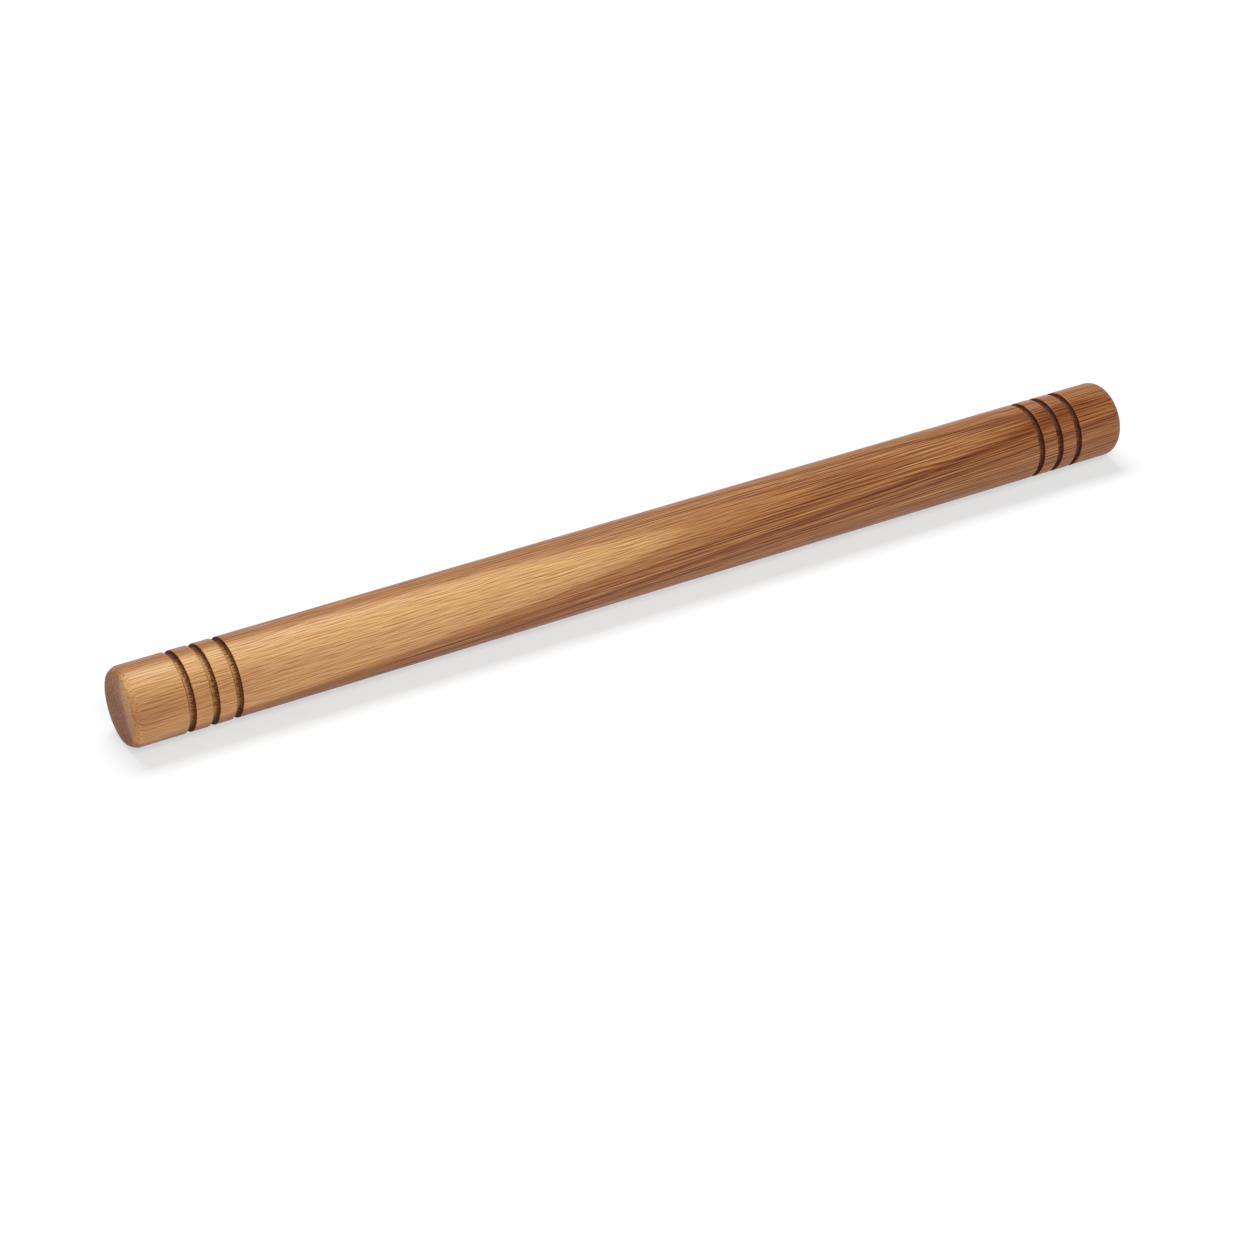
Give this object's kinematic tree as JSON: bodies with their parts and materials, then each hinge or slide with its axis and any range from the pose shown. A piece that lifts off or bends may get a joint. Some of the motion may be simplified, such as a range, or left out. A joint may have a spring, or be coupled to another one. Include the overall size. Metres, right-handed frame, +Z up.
{
  "type": "muddler",
  "caption": "Straight round wooden bar muddler with coves turned near both ends, a flat working face and a rounded palm end.",
  "frame": {"origin": "on the surface that the stick lies on, under the middle of its length", "axes": "+X along the stick from the working face to the palm end, +Z up with the stick lying on its side"},
  "size_m": [0.3, 0.021, 0.021],
  "materials": {
    "oiled_wood": "satin oiled oak-like hardwood, grain along the stick, darker in the turned coves and on the end grain"
  },
  "bodies": {
    "root": {"muddler_body": "oiled_wood"}
  },
  "joints": []
}
